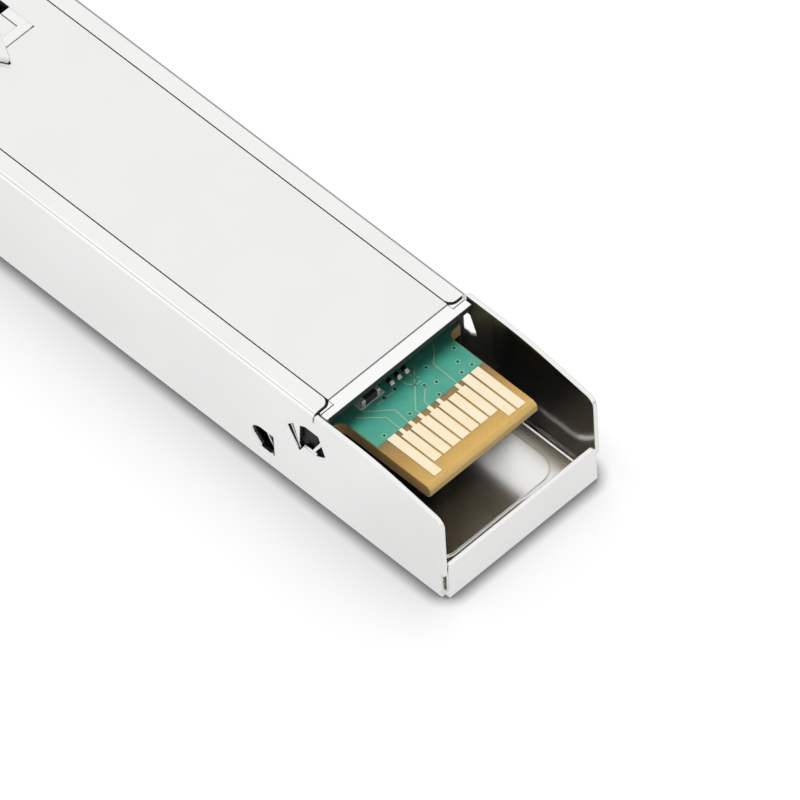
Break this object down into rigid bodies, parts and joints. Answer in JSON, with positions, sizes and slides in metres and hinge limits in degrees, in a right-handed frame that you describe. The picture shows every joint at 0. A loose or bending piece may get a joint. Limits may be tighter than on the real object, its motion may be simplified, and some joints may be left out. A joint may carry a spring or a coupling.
{
  "type": "sfp transceiver",
  "caption": "Pluggable optical transceiver: a folded metal cover around a casting, with a board-edge connector, twin fibre ports, a sprung latch and a swinging bail.",
  "frame": {"origin": "on the label face, on the mid plane, below the shoulder of the latch boss", "axes": "+X to the host end with the edge connector, +Y across, +Z out of the latch face"},
  "size_m": [0.0586, 0.014, 0.0089],
  "materials": {
    "nickel_plated_sheet": "bright nickel plating on pressed sheet steel",
    "zinc_casting": "satin nickel-plated die casting",
    "bare_steel": "drawn and ground steel",
    "stainless_barrel": "turned stainless steel",
    "board_laminate": "green solder mask on glass-epoxy laminate",
    "contact_gold": "hard gold plating",
    "chip_epoxy": "moulded black epoxy",
    "chip_ceramic": "fired chip ceramic with tinned ends",
    "zirconia": "ground zirconia",
    "polyimide": "amber polyimide film",
    "silicone": "soft filled silicone",
    "label_film": "plain white polyester film"
  },
  "bodies": {
    "module": {"outer_cover": "nickel_plated_sheet", "base_casting": "zinc_casting", "blank_label": "label_film", "lever_pin": "bare_steel", "latch_spring": "bare_steel", "circuit_board": "board_laminate", "host_contacts_latch_side": "contact_gold", "host_contacts_label_side": "contact_gold", "driver_chip": "chip_epoxy", "thermal_pad": "silicone", "controller_chip": "chip_epoxy", "chip_resistors": "chip_ceramic", "chip_capacitors": "chip_ceramic", "chip_inductors": "chip_epoxy", "transmitter_barrel": "stainless_barrel", "transmitter_sleeve": "zirconia", "transmitter_can": "stainless_barrel", "transmitter_flex": "polyimide", "receiver_barrel": "stainless_barrel", "receiver_sleeve": "zirconia", "receiver_can": "stainless_barrel", "receiver_flex": "polyimide", "optics_clamp": "zinc_casting"},
    "bail": {"bail": "zinc_casting"},
    "lever": {"latch_lever": "zinc_casting"}
  },
  "joints": [
    {"name": "bail_hinge", "type": "hinge", "parent": "module", "child": "bail", "pos_m": [-0.0089, 0, 0.0077], "axis": [0, 1, 0], "range_deg": [0, 90]},
    {"name": "lever_hinge", "type": "hinge", "parent": "module", "child": "lever", "pos_m": [-0.0046, 0, 0.00775], "axis": [0, 1, 0], "range_deg": [0, 6], "deforming": ["latch_spring"]}
  ],
  "couplings": [
    {"joint": "lever_hinge", "follows": "bail_hinge", "ratio": 0.0666}
  ]
}
